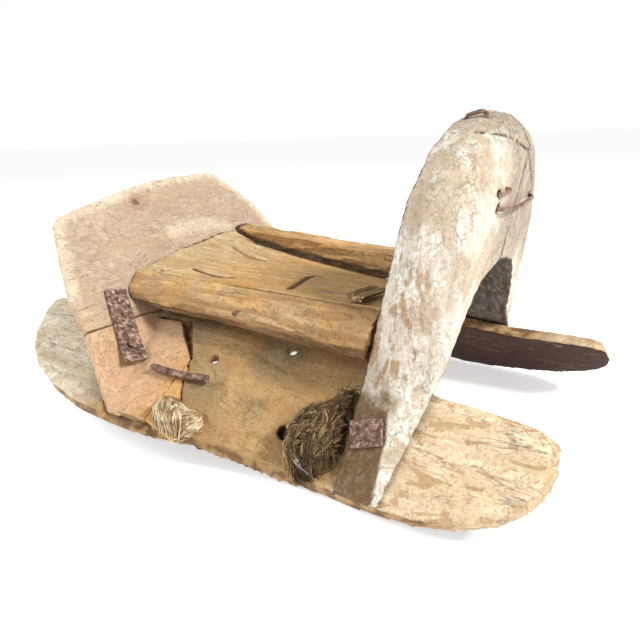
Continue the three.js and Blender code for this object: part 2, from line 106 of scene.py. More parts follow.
class Nodes:
    """A short way to write one material's node tree."""

    def __init__(self, name):
        self.material = bpy.data.materials.new(name)
        self.material.use_nodes = True
        self.tree = self.material.node_tree
        self.shader = self.tree.nodes["Principled BSDF"]
        self.coords = self.add("ShaderNodeTexCoord").outputs["Object"]

    def add(self, kind, **settings):
        node = self.tree.nodes.new(kind)
        for key, value in settings.items():
            setattr(node, key, value)
        return node

    def link(self, source, target):
        self.tree.links.new(source, target)

    def mapped(self, scale=(1, 1, 1), turn=(0, 0, 0)):
        """The object's own coordinates, stretched and turned."""
        mapping = self.add("ShaderNodeMapping")
        mapping.inputs["Scale"].default_value = scale
        mapping.inputs["Rotation"].default_value = turn
        self.link(self.coords, mapping.inputs["Vector"])
        return mapping.outputs["Vector"]

    def noise(self, vector, scale, detail, rough, distortion=0.0):
        node = self.add("ShaderNodeTexNoise")
        node.inputs["Scale"].default_value = scale
        node.inputs["Detail"].default_value = detail
        node.inputs["Roughness"].default_value = rough
        node.inputs["Distortion"].default_value = distortion
        self.link(vector, node.inputs["Vector"])
        return node.outputs["Fac"]

    def ramp(self, factor, stops):
        node = self.add("ShaderNodeValToRGB")
        ramp = node.color_ramp
        while len(ramp.elements) < len(stops):
            ramp.elements.new(0.5)
        for element, (position, color) in zip(ramp.elements, stops):
            element.position = position
            element.color = (*color, 1)
        self.link(factor, node.inputs["Fac"])
        return node.outputs["Color"]

    def fade(self, factor, low, high, one=BLACK, two=WHITE):
        """One colour up to low, the other from high on."""
        return self.ramp(factor, [(low, one), (high, two)])

    def line(self, factor, half_width, color, around):
        """A thin line wherever the factor passes its middle value."""
        return self.ramp(factor, [(0.5 - half_width, around), (0.5, color), (0.5 + half_width, around)])

    def mix(self, factor, one, two, mode="MIX"):
        node = self.add("ShaderNodeMix", data_type="RGBA", blend_type=mode)
        sockets = node.inputs
        if isinstance(factor, (int, float)):
            sockets[MIX_FACTOR].default_value = factor
        else:
            self.link(factor, sockets[MIX_FACTOR])
        for socket, value in ((sockets[MIX_FIRST], one), (sockets[MIX_SECOND], two)):
            if isinstance(value, tuple):
                socket.default_value = (*value, 1)
            else:
                self.link(value, socket)
        return node.outputs[MIX_RESULT]

    def stained(self, color, strength, pattern, low, high, dark, light=WHITE):
        """The colour darkened where the pattern is low."""
        return self.mix(strength, color, self.fade(pattern, low, high, dark, light), "MULTIPLY")

    def math(self, kind, one, two):
        node = self.add("ShaderNodeMath", operation=kind)
        for socket, value in zip(node.inputs, (one, two)):
            if isinstance(value, (int, float)):
                socket.default_value = value
            else:
                self.link(value, socket)
        return node.outputs[0]

    def attribute(self, name):
        node = self.add("ShaderNodeAttribute", attribute_name=name)
        return node.outputs["Color"], node.outputs["Alpha"]

    def bump(self, height, strength, depth, under=None):
        """Relief of a depth in millimetres, below zero for a hollow, on top of the one under it."""
        node = self.add("ShaderNodeBump")
        node.inputs["Strength"].default_value = strength
        node.inputs["Distance"].default_value = depth * MM
        self.link(height, node.inputs["Height"])
        if under is not None:
            self.link(under, node.inputs["Normal"])
        return node.outputs["Normal"]

    def finish(self, color, roughness, normal, metallic=0.0):
        self.link(color, self.shader.inputs["Base Color"])
        if isinstance(roughness, (int, float)):
            self.shader.inputs["Roughness"].default_value = roughness
        else:
            self.link(roughness, self.shader.inputs["Roughness"])
        self.shader.inputs["Metallic"].default_value = metallic
        self.shader.inputs["Specular IOR Level"].default_value = SPECULAR
        self.link(normal, self.shader.inputs["Normal"])
        return self.material


BLOTCH_DARK = (0.74, 0.70, 0.64)
BLOTCH_LIGHT = (1.12, 1.12, 1.12)
CRACKLE = (0.52, 0.42, 0.32)
PORE = (0.66, 0.60, 0.54)
PORE_LIGHT = (1.03, 1.03, 1.03)
CRACK_SHADE = 0.3       # the inside of a crack, as a share of the fibre's dark colour


def wood(name, grain, turn, streak, flake, contrast, chip_scale, chip_from=0.54):
    """Old wood: the painted tone, fibre along the grain, sharp-edged flakes, thin cracks and pores.

    grain stretches the fibre along the wood and turn tilts it; streak is the fibre's dark colour, and
    contrast its strength; flake is the wood under a lost flake; more is lost where chip_from is lower.
    """
    n = Nodes(name)
    tone, wear = n.attribute("tone")
    along = n.mapped(grain, turn)
    even = n.mapped()
    half_along = n.mapped(tuple(0.4 + 0.6 * stretch for stretch in grain), turn)
    fibre = n.noise(along, scale=150.0, detail=7.0, rough=0.66, distortion=0.25)
    coarse = n.noise(along, scale=34.0, detail=6.0, rough=0.62, distortion=0.7)
    blotch = n.noise(even, scale=42.0, detail=9.0, rough=0.66, distortion=0.5)
    grit = n.noise(even, scale=420.0, detail=4.0, rough=0.65)
    chips = n.noise(half_along, scale=chip_scale, detail=8.0, rough=0.6, distortion=0.7)

    color = n.stained(tone, contrast, fibre, 0.36, 0.62, streak)
    color = n.stained(color, contrast, coarse, 0.36, 0.58, streak)
    color = n.stained(color, 0.5, blotch, 0.34, 0.62, BLOTCH_DARK, BLOTCH_LIGHT)
    chipped = n.math("MULTIPLY", n.fade(chips, chip_from, chip_from + 0.03), wear)
    color = n.mix(chipped, color, flake)
    cracked = n.math("MULTIPLY", n.line(coarse, 0.012, WHITE, BLACK), n.fade(blotch, 0.50, 0.56))
    in_crack = tuple(CRACK_SHADE * part for part in streak)
    color = n.mix(n.math("MULTIPLY", cracked, 0.75), color, in_crack)
    crackled = n.math("MULTIPLY", n.fade(coarse, 0.42, 0.52), 0.8)
    color = n.mix(crackled, color, n.line(blotch, 0.016, CRACKLE, WHITE), "MULTIPLY")
    color = n.stained(color, 0.6, grit, 0.36, 0.52, PORE, PORE_LIGHT)

    rough = n.fade(fibre, 0.2, 0.8, (0.66, 0.66, 0.66), (0.92, 0.92, 0.92))
    relief = n.bump(fibre, strength=0.45, depth=1.2)
    relief = n.bump(blotch, strength=0.35, depth=2.2, under=relief)
    relief = n.bump(chipped, strength=0.35, depth=-0.6, under=relief)
    relief = n.bump(cracked, strength=0.6, depth=-1.2, under=relief)
    relief = n.bump(grit, strength=0.25, depth=0.3, under=relief)
    return n.finish(color, rough, relief)


RUST_BLACK = (0.06, 0.036, 0.028)
RUST_DEEP = (0.18, 0.105, 0.075)
RUST = (0.32, 0.205, 0.15)
RUST_LIGHT = (0.34, 0.22, 0.16)
FLECK = (0.62, 0.47, 0.36)
FLECK_PALE = (0.88, 0.76, 0.62)
RUST_SPECK = (0.36, 0.29, 0.26)


def iron(name, fleck):
    """Rusted iron; fleck is how far its brightest spots go towards the pale colours."""
    n = Nodes(name)
    patch = n.noise(n.mapped(), scale=210.0, detail=8.0, rough=0.7, distortion=0.5)
    fine = n.noise(n.mapped(), scale=900.0, detail=5.0, rough=0.7)
    rust = n.ramp(patch, [
        (0.32, RUST_BLACK),
        (0.45, RUST_DEEP),
        (0.53, RUST),
        (0.59, blend(RUST, FLECK, fleck)),
        (0.66, blend(RUST_LIGHT, FLECK_PALE, fleck)),
    ])
    color = n.stained(rust, 0.6, fine, 0.38, 0.58, RUST_SPECK)
    rough = n.fade(patch, 0.3, 0.7, (0.92, 0.92, 0.92), (0.6, 0.6, 0.6))
    relief = n.bump(patch, strength=0.8, depth=1.4)
    relief = n.bump(fine, strength=0.6, depth=0.4, under=relief)
    return n.finish(color, rough, relief, metallic=0.2)


ROPE_DIRT = (0.42, 0.34, 0.26)
ROPE_CLEAN = (1.1, 1.1, 1.1)
ROPE_SHADE = (0.45, 0.40, 0.34)


def rope(name):
    """Dry fibre: the painted tone, dirt in patches and fine shading between the fibres."""
    n = Nodes(name)
    tone = n.attribute("tone")[0]
    fibre = n.noise(n.mapped(), scale=1300.0, detail=4.0, rough=0.7)
    dirt = n.noise(n.mapped(), scale=160.0, detail=6.0, rough=0.65)
    color = n.stained(tone, 0.7, dirt, 0.34, 0.56, ROPE_DIRT, ROPE_CLEAN)
    color = n.stained(color, 0.5, fibre, 0.36, 0.58, ROPE_SHADE)
    return n.finish(color, 0.95, n.bump(fibre, strength=0.7, depth=0.5))


GRAIN_X = (0.14, 1.5, 1.5)
GRAIN_X_LONG = (0.10, 1.5, 1.5)
GRAIN_Y = (1.5, 0.2, 1.5)
GRAIN_Z = (1.5, 1.5, 0.18)
WOODS = {
    "board": dict(grain=GRAIN_X, turn=(0, 0, 0.06), contrast=0.5, chip_scale=95.0,
                  streak=(0.74, 0.60, 0.44), flake=(0.50, 0.33, 0.18)),
    "cantle": dict(grain=GRAIN_Y, turn=(0, 0.3, 0), contrast=0.4, chip_scale=170.0, chip_from=0.56,
                   streak=(0.86, 0.76, 0.68), flake=(0.90, 0.82, 0.68)),
    "leg": dict(grain=GRAIN_Z, turn=(0, 0.5, 0), contrast=0.3, chip_scale=140.0, chip_from=0.57,
                streak=(0.84, 0.70, 0.56), flake=(0.60, 0.40, 0.24)),
    "seat": dict(grain=GRAIN_X, turn=(0, 0, 0), contrast=0.75, chip_scale=120.0, chip_from=0.56,
                 streak=(0.74, 0.60, 0.42), flake=(0.44, 0.28, 0.14)),
    "rail": dict(grain=GRAIN_X_LONG, turn=(0, 0, 0), contrast=0.6, chip_scale=120.0,
                 streak=(0.72, 0.56, 0.38), flake=(0.30, 0.20, 0.10)),
    "pommel": dict(grain=GRAIN_Z, turn=(0.25, 0, 0), contrast=0.75, chip_scale=210.0, chip_from=0.53,
                   streak=(0.80, 0.73, 0.65), flake=(0.55, 0.42, 0.30)),
}
MATERIALS = {part: wood(part + "_wood", **look) for part, look in WOODS.items()}
MATERIALS["iron"] = iron("old_iron", fleck=1.0)
MATERIALS["wire"] = iron("wire_iron", fleck=0.15)
MATERIALS["cleat"] = iron("cleat_iron", fleck=0.45)
MATERIALS["pale_rope"] = rope("pale_rope")
MATERIALS["dark_rope"] = rope("dark_rope")


# ---- worn pieces from the solids -------------------------------------------------------------

FULLY_LIT = 0.95        # how bright a white face is in full light


def shade(red, green, blue):
    """The linear colour that looks like this one, from 0 to 255, on a fully lit face."""
    return tuple(FULLY_LIT * ((part / 255 + 0.055) / 1.055) ** 2.4 for part in (red, green, blue))


def cloud(p, scale, seed):
    """Smooth noise from 0 to 1 at a point, with lumps of about the scale in mm."""
    q = Vector((p.x / scale + seed, p.y / scale - seed, p.z / scale + 2 * seed))
    return 0.5 + 0.5 * noise.fractal(q, 1.0, 2.0, 3)


def astray(value, reach, p, scale, seed):
    """A measure that wanders by up to half the reach, so that a border isn't straight."""
    return value + reach * (cloud(p, scale, seed) - 0.5)


def from_line(p, points):
    """How far a point is from a run of straight lines, seen along its third axis."""
    best = math.inf
    for (x1, y1), (x2, y2) in zip(points, points[1:]):
        ux, uy = x2 - x1, y2 - y1
        share = ((p.x - x1) * ux + (p.y - y1) * uy) / (ux * ux + uy * uy)
        share = min(1.0, max(0.0, share))
        best = min(best, math.hypot(p.x - x1 - share * ux, p.y - y1 - share * uy))
    return best


def new_piece(name, mesh, material, slot, *nodes):
    """A piece with one material that stands for the nodes."""
    piece = bpy.data.objects.new(name, mesh)
    bpy.context.scene.collection.objects.link(piece)
    mesh.materials.clear()
    mesh.materials.append(MATERIALS[material])
    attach(piece, "root")
    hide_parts(*nodes)
    return piece


def remeshed(node, voxel, rounds):
    """The node's solid as an even skin with softened edges."""
    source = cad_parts[node]
    piece = bpy.data.objects.new(node + "_skin", source.data.copy())
    bpy.context.scene.collection.objects.link(piece)
    piece.matrix_world = source.matrix_world.copy()
    remesh = piece.modifiers.new("skin", "REMESH")
    remesh.mode = "VOXEL"
    remesh.voxel_size = voxel * MM
    soften = piece.modifiers.new("soften", "SMOOTH")
    soften.iterations = rounds
    soften.factor = 0.5
    depsgraph = bpy.context.evaluated_depsgraph_get()
    mesh = bpy.data.meshes.new_from_object(piece.evaluated_get(depsgraph))
    bpy.data.objects.remove(piece)
    return mesh


def worn_mesh(node, voxel, rounds, depth, tone):
    """The solid's skin, worn in by depth(p, n) mm, with tone(p, n) as its colour and share of flakes."""
    mesh = remeshed(node, voxel, rounds)
    color = mesh.color_attributes.new("tone", "FLOAT_COLOR", "POINT")
    normals = [v.normal.copy() for v in mesh.vertices]
    for vertex, normal in zip(mesh.vertices, normals):
        p = vertex.co / MM - BALANCE_SHIFT
        color.data[vertex.index].color = tone(p, normal)
        vertex.co = (p + BALANCE_SHIFT - normal * depth(p, normal)) * MM
    for polygon in mesh.polygons:
        polygon.use_smooth = True
    return mesh


def weathered(node, ending, slot, material, depth, tone, voxel, rounds):
    """A worn piece in place of a node; voxel is the skin's fineness in mm, rounds softens its edges."""
    mesh = worn_mesh(node, voxel, rounds, depth, tone)
    return new_piece(f"{node}_{ending}", mesh, material, slot, node)


def hewn(p, n):
    """Dents, tool marks and fibre left by hand work; never proud of the solid."""
    return 0.15 + 0.9 * cloud(p, 26.0, 3.1) + 0.35 * cloud(p, 6.0, 8.4)


def evenly(depth):
    """Wear of the same depth all over."""
    return lambda p, n: depth


# ---- colours of the wood, painted point by point -----------------------------------------------
# Every tone function gives a colour and the share of flakes at p, whose skin faces n. The clouds in it
# have a scale in mm and a seed of their own.

# Pale cream paint, made brighter still as painted light where the cantle's shadow falls.
BOARD_REAR_LIT = shade(250, 244, 224)
BOARD_MID = shade(167, 146, 108)
BOARD_WARM = shade(192, 160, 112)
BOARD_LOW = shade(200, 168, 118)
BOARD_FRONT = shade(240, 224, 194)
BOARD_EDGE = shade(186, 154, 110)
BOARD_EDGE_DARK = shade(132, 104, 70)
# Dark wood of the board's inner faces, deepened as painted shade.
BOARD_INSIDE_SHADE = shade(60, 28, 8)
CANTLE_FACE = shade(207, 187, 163)
CANTLE_LOW = shade(206, 165, 112)
# The pale rim of the cantle, also used as a painted highlight along the seat's ridge.
CANTLE_RIM_AND_HIGHLIGHT = shade(240, 228, 205)
# Painted shade for the cantle's back face.
CANTLE_BACK_SHADE = shade(120, 96, 70)
LEG_PINK = shade(222, 188, 154)
LEG_ORANGE = shade(222, 176, 122)
SLIVER = shade(226, 182, 118)
SEAT_REAR = shade(232, 210, 170)
SEAT_FRONT = shade(230, 194, 136)
RAIL = shade(214, 186, 146)
# Painted shade for faces that turn downwards.
UNDERSIDE_SHADE = shade(92, 68, 44)
POMMEL_WHITE = shade(237, 237, 230)
POMMEL_CREAM = shade(206, 194, 174)
# Dark wood of the arch and the rear faces, deepened as painted shade.
POMMEL_INSIDE_SHADE = shade(40, 28, 19)
WORN_TAN = shade(178, 142, 100)
CROWN_GREY = shade(160, 150, 138)
FOOT_BROWN = shade(124, 101, 70)


def board_tone(p, n):
    x = p.x
    y = abs(p.y)
    color = blend(BOARD_MID, BOARD_WARM, smooth(0.45, 0.62, cloud(p, 55.0, 1.7)))
    low_edge = smooth(150.0, 182.0, y + 0.35 * x)
    color = blend(color, BOARD_LOW, 0.8 * low_edge)
    # Behind the tail the board takes its pale paint, brightened as painted light.
    past_tail = smooth(-150.0, -60.0, astray(x, 40, p, 30.0, 9.0))
    color = blend(BOARD_REAR_LIT, color, past_tail)
    nose = smooth(122.0, 182.0, astray(x, 50, p, 30.0, 4.0))
    color = blend(color, BOARD_FRONT, nose)
    flakes = 0.15 + 0.75 * smooth(150.0, 190.0, x) + 0.35 * smooth(-110.0, -180.0, x)

    out = face_out(math.copysign(1, p.y), x, y)
    facing = n.dot(out)
    height = (p.z - face_z(x, y)) * out.z
    off_face = max(smooth(0.75, 0.5, facing), smooth(-2.0, -4.0, height))
    if off_face > 0:
        # Faces turned inwards get dark brown: the wood's own dark colour deepened as painted shade.
        inside = smooth(-0.3, -0.62, facing)
        edge = blend(BOARD_EDGE_DARK, BOARD_EDGE, smooth(0.40, 0.56, cloud(p, 11.0, 2.5)))
        edge = blend(edge, BOARD_FRONT, 0.7 * smooth(215.0, 250.0, x))
        color = blend(color, blend(edge, BOARD_INSIDE_SHADE, inside), off_face)
        flakes *= 1 - inside
    return (*color, flakes)


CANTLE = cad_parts["cantle_board"]
CANTLE_NORMAL = Vector((1.0, 0, 0.9136)).normalized()
# A painted highlight runs along this ridge on the cantle.
SEAT_RIDGE = [(-13, 157.5), (16, 160), (47, 158), (73, 152)]    # y, z where the seat meets the board
CANTLE_KNOT = Vector((-190.8, -32.5, 192.3))
KNOT_RED = shade(186, 140, 116)
KNOT_DARK = shade(96, 66, 50)


def rim_tree():
    """The narrow faces round the cantle board, to measure how near its edge a point is."""
    mesh = CANTLE.data
    faces = [tuple(f.vertices) for f in mesh.polygons if abs(f.normal.dot(CANTLE_NORMAL)) < 0.5]
    return BVHTree.FromPolygons([CANTLE.matrix_world @ v.co for v in mesh.vertices], faces)


CANTLE_RIM_FACES = rim_tree()


def across(p):
    """The point seen along the object's length, to measure from a line of y and z."""
    return Vector((p.y, p.z, 0))


def cantle_tone(p, n):
    from_edge = CANTLE_RIM_FACES.find_nearest((p + BALANCE_SHIFT) * MM)[3] / MM
    color = blend(CANTLE_LOW, CANTLE_FACE, smooth(70.0, 125.0, astray(p.z, 30, p, 40.0, 5.2)))
    rim = smooth(15.0, 5.0, astray(from_edge, 9, p, 9.0, 7.7)) * smooth(100.0, 135.0, p.z)
    color = blend(color, CANTLE_RIM_AND_HIGHLIGHT, 0.9 * rim)
    # Painted highlight along the ridge where the seat meets the board.
    ridge_highlight = smooth(12.0, 3.0, astray(from_line(across(p), SEAT_RIDGE), 8, p, 8.0, 1.1))
    color = blend(color, CANTLE_RIM_AND_HIGHLIGHT, 0.75 * ridge_highlight)
    from_knot = astray((p - CANTLE_KNOT).length, 8, p, 7.0, 2.9)
    color = blend(color, KNOT_RED, 0.45 * smooth(20.0, 6.0, from_knot))
    color = blend(color, KNOT_DARK, 0.7 * smooth(6.0, 2.5, from_knot))
    # The back face is darkened as painted shade.
    if n.dot(CANTLE_NORMAL) < -0.3:
        color = blend(color, CANTLE_BACK_SHADE, 0.7)
    return (*color, 0.2)


def leg_tone(p, n):
    color = blend(LEG_PINK, LEG_ORANGE, smooth(-60.0, -5.0, p.x))
    # Faces turned downwards are darkened as painted shade.
    if n.z < -0.1:
        color = blend(color, UNDERSIDE_SHADE, 0.6)
    return (*color, 0.2)


def sliver_tone(p, n):
    return (*SLIVER, 0.1)


# Marks on the seat as lines of x and y: an open slit with its pale lip, a crescent cut, a loose
# splinter and a fine split; the slit, the crescent and the split are painted dark as shade inside them.
SLIT = [(-84.6, -52.6), (-62.4, -59.9), (-44.2, -64.3), (-30, -65.2), (-22.5, -60.7)]
LIP = [(-90, -43), (-74, -47), (-53.5, -56), (-41.3, -58), (-28.5, -55)]
CRESCENT = [(50.7, -66.8), (45.4, -48), (39.6, -27.8), (35.2, -8.7), (43.3, -8.4)]
SPLINTER = [(-113.5, 45.3), (-95.4, 38.9), (-71.8, 29.3), (-53.1, 26.2)]
SPLIT = [(-112, 36), (-91, 26), (-74, 20), (-50, 20)]
# Painted shade inside the cuts and in the crevice along the far rail.
CREVICE_SHADE = shade(70, 48, 28)
SLIT_LIP = shade(240, 224, 194)


def seat_tone(p, n):
    color = blend(SEAT_FRONT, SEAT_REAR, smooth(-20.0, -110.0, astray(p.x, 40, p, 30.0, 3.3)))
    color = blend(color, RAIL, 0.5 * smooth(0.5, 0.65, cloud(p, 34.0, 4.4)))
    if n.z > 0.3:
        rear_end = smooth(-118.0, -146.0, astray(p.x, 22, p, 9.0, 5.9))
        color = blend(color, SLIT_LIP, 0.75 * rear_end)
        # Painted shadow in the crevice where the seat meets the far rail.
        far_rail_shadow = smooth(66.0, 72.0, p.y) * smooth(-140.0, -110.0, p.x)
        color = blend(color, CREVICE_SHADE, 0.8 * far_rail_shadow)
        color = blend(color, SLIT_LIP, 0.9 * smooth(4.2, 1.8, astray(from_line(p, LIP), 2, p, 5.0, 4.1)))
        # The dark of the split, the slit and the crescent is painted shade inside them.
        color = blend(color, CREVICE_SHADE, 0.6 * smooth(3.0, 1.2, from_line(p, SPLIT)))
        color = blend(color, SLIT_LIP, 0.85 * smooth(4.6, 2.0, from_line(p, SPLINTER)))
        color = blend(color, CREVICE_SHADE, smooth(3.0, 1.5, from_line(p, SLIT)))
        color = blend(color, CREVICE_SHADE, 0.85 * smooth(4.2, 2.4, from_line(p, CRESCENT)))
    # Faces turned downwards are darkened as painted shade.
    if n.z < -0.1:
        color = blend(color, UNDERSIDE_SHADE, 0.8)
    return (*color, 0.12)


def seat_depth(p, n):
    """The slit and the crescent are cut into the seat's top."""
    depth = hewn(p, n)
    if n.z > 0.3:
        depth += 2.6 * smooth(2.6, 0.6, from_line(p, SLIT))
        depth += 1.8 * smooth(3.8, 1.0, from_line(p, CRESCENT))
    return depth


# Painted light: the far rail made lighter, as if lit more than the near one.
FAR_RAIL_LIT = shade(240, 206, 154)
# Bare brown wood under peeled strips; also the colour of the pommel's painted shadow on the rails.
RAIL_BROWN = shade(160, 122, 78)
RAIL_KNOT = shade(70, 50, 32)
RAIL_KNOTS = [Vector((23.1, -108.5, 117.1)), Vector((133.5, -108, 106))]
SEAT_SIDE = [(-151, 149), (-121, 134), (-60, 124), (45, 112), (151, 108)]    # x, z by the far rail


def seat_side(x):
    """Height of the seat board where it meets the far rail."""
    for (x1, z1), (x2, z2) in zip(SEAT_SIDE, SEAT_SIDE[1:]):
        if x <= x2:
            return z1 + (z2 - z1) * max(0.0, x - x1) / (x2 - x1)
    return SEAT_SIDE[-1][1]


def peeled(p):
    """1 where the outer layer has come off in long strips, 0 where it is left."""
    return smooth(0.49, 0.53, cloud(Vector((p.x * 0.13, p.y, p.z)), 7.0, 6.6))


def rail_tone(p, n):
    color = blend(RAIL, SEAT_FRONT, smooth(0.4, 0.6, cloud(p, 30.0, 4.4)))
    lower = smooth(126.0, 112.0, p.z)
    if p.y > 0:
        # The far rail is painted lighter, as painted light.
        color = blend(color, FAR_RAIL_LIT, 0.7)
        lower = 0.3
    color = blend(color, RAIL_BROWN, (0.3 + 0.35 * lower) * peeled(p))
    # Painted shadow of the pommel over the rails' front ends.
    front_end_shadow = smooth(75.0, 125.0, astray(p.x, 30, p, 16.0, 8.8))
    color = blend(color, RAIL_BROWN, 0.55 * front_end_shadow)
    for knot in RAIL_KNOTS:
        color = blend(color, RAIL_KNOT, 0.9 * smooth(5.0, 2.5, (p - knot).length))
    # On the far rail, a painted shadow just above the seat, in the crevice between them.
    if p.y > 0 and n.y < 0.2:
        above_seat = p.z - seat_side(p.x) - 3 * cloud(p, 20.0, 3.0)
        color = blend(color, CREVICE_SHADE, 0.9 * smooth(6.0, 3.5, above_seat))
    # Faces turned downwards are darkened as painted shade.
    elif n.z < -0.1:
        color = blend(color, UNDERSIDE_SHADE, 0.6)
    return (*color, 0.25 + 0.4 * lower)


def rail_depth(p, n):
    return hewn(p, n) + 1.1 * peeled(p)


# The crack over the pommel's crown, as y and z on its front face.
CROWN_CRACK = [(-82, 266), (-57, 260), (-26, 252), (5, 238), (32, 218), (43, 204)]


def crown_crack(p):
    return from_line(across(p), CROWN_CRACK)


def pommel_tone(p, n):
    worn = smooth(0.5, 0.62, cloud(Vector((p.x, p.y * 1.4, p.z * 0.5)), 26.0, 6.1))
    color = blend(POMMEL_WHITE, POMMEL_CREAM, 0.8 * worn)
    far_crown = smooth(-45.0, -20.0, p.y) * smooth(130.0, 175.0, p.z)
    color = blend(color, CROWN_GREY, 0.85 * far_crown)
    streak = smooth(0.56, 0.60, cloud(Vector((p.x, p.y, p.z * 0.3)), 7.0, 3.7))
    flank = smooth(0.55, 0.25, n.x) * smooth(64.0, 84.0, p.z) * smooth(200.0, 150.0, p.z)
    color = blend(color, WORN_TAN, 0.8 * streak * flank)
    flakes = 0.55 + 0.45 * smooth(0.45, 0.6, cloud(p, 60.0, 1.2))

    towards_arch = -n.y * math.copysign(1, p.y)
    in_arch = n.z < -0.25 or (towards_arch > 0.3 and n.x < 0.6 and p.z < 200)
    # The arch's inside and the faces turned back are painted dark: dark wood and painted shade.
    for shaded_face in (n.x < -0.35, in_arch):
        if shaded_face:
            color = blend(color, POMMEL_INSIDE_SHADE, 0.9)
            flakes = 0.2
    if not in_arch and p.z < 95 and towards_arch < -0.1:
        foot = smooth(0.30, 0.12, n.x) * smooth(84.0, 66.0, astray(p.z, 16, p, 12.0, 5.1))
        color = blend(color, FOOT_BROWN, foot)
        flakes *= 1 - 0.7 * foot
    if n.x > 0.3:
        middle_joint = smooth(1.6, 0.4, abs(p.y))
        color = blend(color, RAIL_KNOT, 0.9 * smooth(1.6, 0.5, crown_crack(p)))
        color = blend(color, RAIL_BROWN, 0.7 * middle_joint)
    return (*color, flakes)


def pommel_depth(p, n):
    depth = hewn(p, n)
    if n.x > 0.3:
        depth += 1.2 * smooth(2.4, 0.5, crown_crack(p))
    return depth


for word, _ in SIDES:
    weathered(f"{word}_side_board", "wood", "board_wood", "board", hewn, board_tone, 1.9, 2)
    weathered(f"{word}_cantle_leg", "wood", "cantle_wood", "leg", hewn, leg_tone, 1.5, 2)
    weathered(f"{word}_foot_sliver", "wood", "board_wood", "leg", evenly(0.15), sliver_tone, 1.0, 1)
    weathered(f"pommel_{word}_half", "wood", "pommel_wood", "pommel", pommel_depth, pommel_tone, 1.7, 4)
    weathered(f"{word}_seat_rail", "wood", "seat_wood", "rail", rail_depth, rail_tone, 1.5, 3)
weathered("cantle_board", "wood", "cantle_wood", "cantle", hewn, cantle_tone, 1.8, 2)
weathered("seat_board", "wood", "seat_wood", "seat", seat_depth, seat_tone, 1.4, 3)
weathered("seat_peg", "wood", "seat_wood", "seat", evenly(0.1), seat_tone, 0.8, 2)


# ---- forged iron -----------------------------------------------------------------------------

# What a node's name says it is, and the material that it gets.
IRON = {
    "strap": "iron",
    "nail": "iron",
    "leg_cleat": "cleat",
    "foot_cleat": "cleat",
    "staple": "wire",
    "stub": "wire",
}


def pitted(p, n):
    """Shallow pits of old rust."""
    return 0.05 + 0.5 * cloud(p, 4.0, 5.5) ** 2


def iron_tone(p, n):
    """Iron takes its colour from its material alone."""
    return (1, 1, 1, 1)


for node in list(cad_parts):
    for word, material in IRON.items():
        if word in node:
            weathered(node, "iron", "old_iron", material, pitted, iron_tone, 0.7, 2)
            break


# ---- rope ------------------------------------------------------------------------------------

STRAND_PARTS = 4        # steps from one point of a strand's course to the next
STRAND_SIDES = 5
STRAND_TAPER = 0.65     # how much thinner a strand is at its end
CORE_SINK = 2.2         # the most that a knot's core is hollowed between its strands, in mm
RAY_FROM = 40.0         # a strand's points drop onto the core from this far above the board, in mm
RAY_LENGTH = 42.0


def curve_through(points, parts):
    """Evenly parted points of a smooth curve through the given ones."""
    ends = [points[0] * 2 - points[1], *points, points[-1] * 2 - points[-2]]
    course = []
    for a, b, c, d in zip(ends, ends[1:], ends[2:], ends[3:]):
        for k in range(parts):
            t = k / parts
            course.append(0.5 * (2 * b + (c - a) * t + (2 * a - 5 * b + 4 * c - d) * t * t
                                 + (3 * b - a - 3 * c + d) * t ** 3))
    return [*course, points[-1]]


def add_strand(bm, layer, points, radius, color):
    """One fibre bundle: a thin tube that narrows at its end."""
    course = curve_through(points, STRAND_PARTS)
    last = len(course) - 1
    rings = []
    for k, centre in enumerate(course):
        ahead = (course[min(k + 1, last)] - course[max(k - 1, 0)]).normalized()
        first = ahead.orthogonal().normalized()
        second = ahead.cross(first)
        wide = radius * MM * (1 - STRAND_TAPER * (k / last) ** 2)
        ring = []
        for j in range(STRAND_SIDES):
            angle = 2 * math.pi * j / STRAND_SIDES
            vertex = bm.verts.new(centre + (first * math.cos(angle) + second * math.sin(angle)) * wide)
            vertex[layer] = color
            ring.append(vertex)
        rings.append(ring)
    for one, two in zip(rings, rings[1:]):
        for j in range(STRAND_SIDES):
            after = (j + 1) % STRAND_SIDES
            bm.faces.new((one[j], one[after], two[after], two[j])).smooth = True
    bm.faces.new(rings[0][::-1])
    bm.faces.new(rings[-1])


PALE = (shade(240, 224, 186), shade(224, 198, 154), shade(200, 166, 122), shade(250, 240, 212))
# Knot cores: rope colour darkened as painted shade deep between the strands.
PALE_CORE_SHADE = shade(164, 126, 88)
DARK = (shade(104, 82, 56), shade(128, 104, 72), shade(76, 57, 38), shade(164, 138, 100))
DARK_CORE_SHADE = shade(66, 49, 33)
GREY_LUMP = shade(160, 148, 144)


def matted(p, n):
    """How far in a knot's core lies under the loose strands."""
    return 0.3 + CORE_SINK * cloud(p, 5.0, 3.9)


def knot_piece(node, side, slot, core_shade, strands):
    """A matted core in painted shade, with loose strands combed over it; strands are (points, radius,
    color, lift).
    """
    core = worn_mesh(node, 0.9, 2, matted, lambda p, n: (*core_shade, 0))
    bm = bmesh.new()
    bm.from_mesh(core)
    tree = BVHTree.FromBMesh(bm)
    layer = bm.verts.layers.float_color["tone"]
    for points, radius, color, lift in strands:
        course = []
        for x, y, rise in points:
            out = face_out(side, x, y)
            place = on_face(side, x, y)
            hit = tree.ray_cast(place + out * RAY_FROM * MM, -out, RAY_LENGTH * MM)[0]
            base = place if hit is None else hit
            course.append(base + out * (rise + lift) * MM)
        add_strand(bm, layer, course, radius, (*color, 0))
    bm.to_mesh(core)
    bm.free()
    return new_piece(node + "_rope", core, slot, slot, node)


def jitter(point, reach):
    x, y, rise = point
    return (x + random.uniform(-reach, reach), y + random.uniform(-reach, reach), rise)


